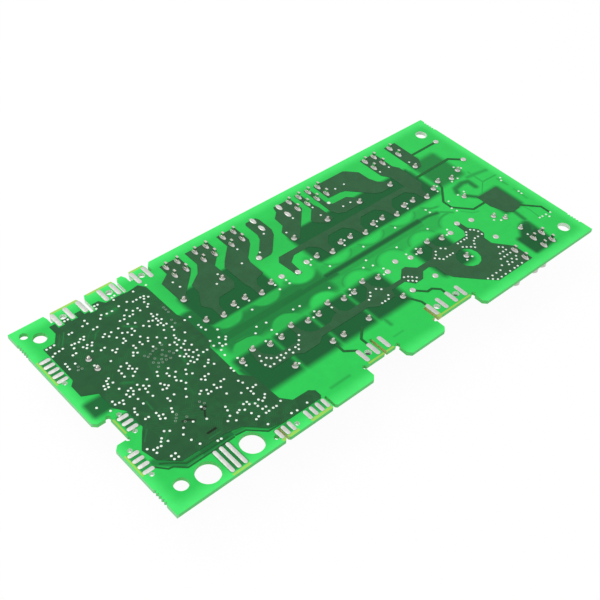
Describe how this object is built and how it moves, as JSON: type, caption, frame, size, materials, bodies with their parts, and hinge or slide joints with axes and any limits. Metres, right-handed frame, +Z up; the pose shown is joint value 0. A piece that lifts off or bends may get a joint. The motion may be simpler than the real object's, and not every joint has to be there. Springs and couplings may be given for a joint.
{
  "type": "power module",
  "caption": "Flat relay control board seen from its solder side, with edge contacts, tab headers, keying slots and corner mounting holes.",
  "frame": {"origin": "under the middle of the board, on the plane that the relays' flat tops rest on", "axes": "+X along the long side, away from the side with the control contacts; +Y towards the side with the slotted contact tabs; +Z up, out of the solder side"},
  "size_m": [0.1988, 0.0896, 0.0196],
  "materials": {
    "masked_laminate": "green lacquer over glass-fibre laminate, satin gloss",
    "masked_copper": "dark green lacquer over copper, satin gloss",
    "tin_plate": "levelled tin plating, softly bright",
    "solder": "wave solder, bright and slightly grainy",
    "tinned_brass": "tinned brass, dull bright",
    "relay_case": "black moulded case, fine matt",
    "header_nylon": "natural nylon, matt",
    "film_capacitor_resin": "moulded box filled with resin, satin",
    "varistor_coating": "dipped epoxy coating, glossy",
    "capacitor_sleeve": "shrunk plastic sleeve, satin",
    "chip_epoxy": "moulded epoxy, matt",
    "chip_ceramic": "fired ceramic, matt"
  },
  "bodies": {
    "root": {"bare_pads": "tin_plate", "can_capacitor": "capacitor_sleeve", "chip_capacitors": "chip_ceramic", "chip_resistors": "chip_epoxy", "circuit_board": "masked_laminate", "copper_component_side": "masked_copper", "copper_control_plane": "masked_copper", "copper_far_bus": "masked_copper", "copper_header_areas": "masked_copper", "copper_mains_area": "masked_copper", "copper_signal_tracks": "masked_copper", "copper_supply_area": "masked_copper", "edge_contacts_far_1": "tin_plate", "edge_contacts_far_2": "tin_plate", "edge_contacts_far_3": "tin_plate", "edge_contacts_fine_1": "tin_plate", "edge_contacts_fine_2": "tin_plate", "edge_contacts_long": "tin_plate", "edge_contacts_near_1": "tin_plate", "edge_contacts_near_2": "tin_plate", "edge_contacts_side_1": "tin_plate", "edge_contacts_side_2": "tin_plate", "edge_contacts_side_3": "tin_plate", "film_capacitor": "film_capacitor_resin", "header_tabs": "tinned_brass", "microcontroller": "chip_epoxy", "relay_01": "relay_case", "relay_02": "relay_case", "relay_03": "relay_case", "relay_04": "relay_case", "relay_05": "relay_case", "relay_06": "relay_case", "relay_07": "relay_case", "relay_08": "relay_case", "relay_09": "relay_case", "relay_10": "relay_case", "relay_11": "relay_case", "relay_12": "relay_case", "relay_driver_1": "chip_epoxy", "relay_driver_2": "chip_epoxy", "relay_pins": "tinned_brass", "solder_relay_pins": "solder", "solder_small_parts": "solder", "solder_tab_legs": "solder", "tab_header_1": "header_nylon", "tab_header_2": "header_nylon", "tab_header_3": "header_nylon", "tab_header_4": "header_nylon", "tab_header_5": "header_nylon", "tab_header_6": "header_nylon", "tab_header_7": "header_nylon", "tab_header_8": "header_nylon", "varistor": "varistor_coating"}
  },
  "joints": []
}
